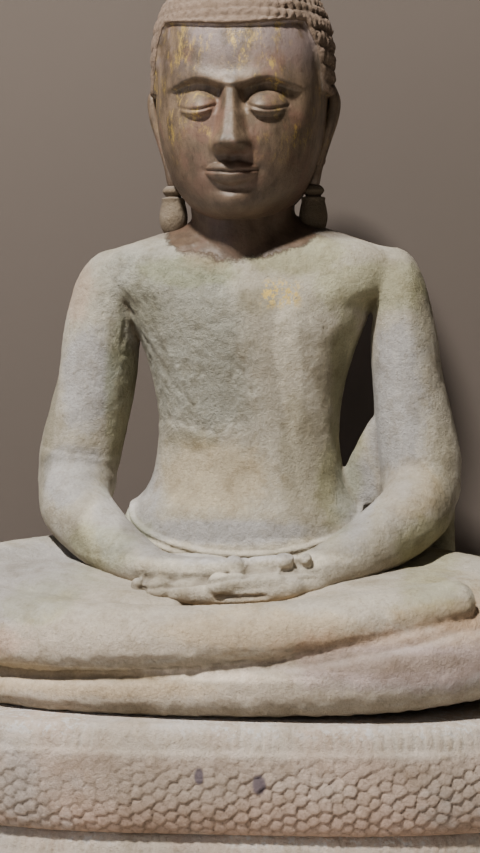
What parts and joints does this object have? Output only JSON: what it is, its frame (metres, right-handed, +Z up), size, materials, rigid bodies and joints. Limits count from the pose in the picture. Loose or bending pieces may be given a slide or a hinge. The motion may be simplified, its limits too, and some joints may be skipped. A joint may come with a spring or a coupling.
{
  "type": "statue",
  "caption": "Carved sandstone figure seated in meditation, hands in its lap, on the stacked coils of a scaled serpent; garden or gallery sculpture that stands on its own flat base",
  "frame": {"origin": "the middle of the bounding box's bottom face, on the floor under the coils", "axes": "+Z is up and the longest extent; the figure faces -Y, the shortest extent; +X runs to the figure's own left"},
  "size_m": [0.8008, 0.5398, 1.1923],
  "materials": {
    "figure_stone": "worn grey-beige sandstone, matte, with remains of dark lacquer and gold on the head",
    "coil_stone": "worn warm beige sandstone, matte, carved with scales"
  },
  "bodies": {
    "root": {"buddha_figure": "figure_stone", "naga_coils": "coil_stone"}
  },
  "joints": []
}
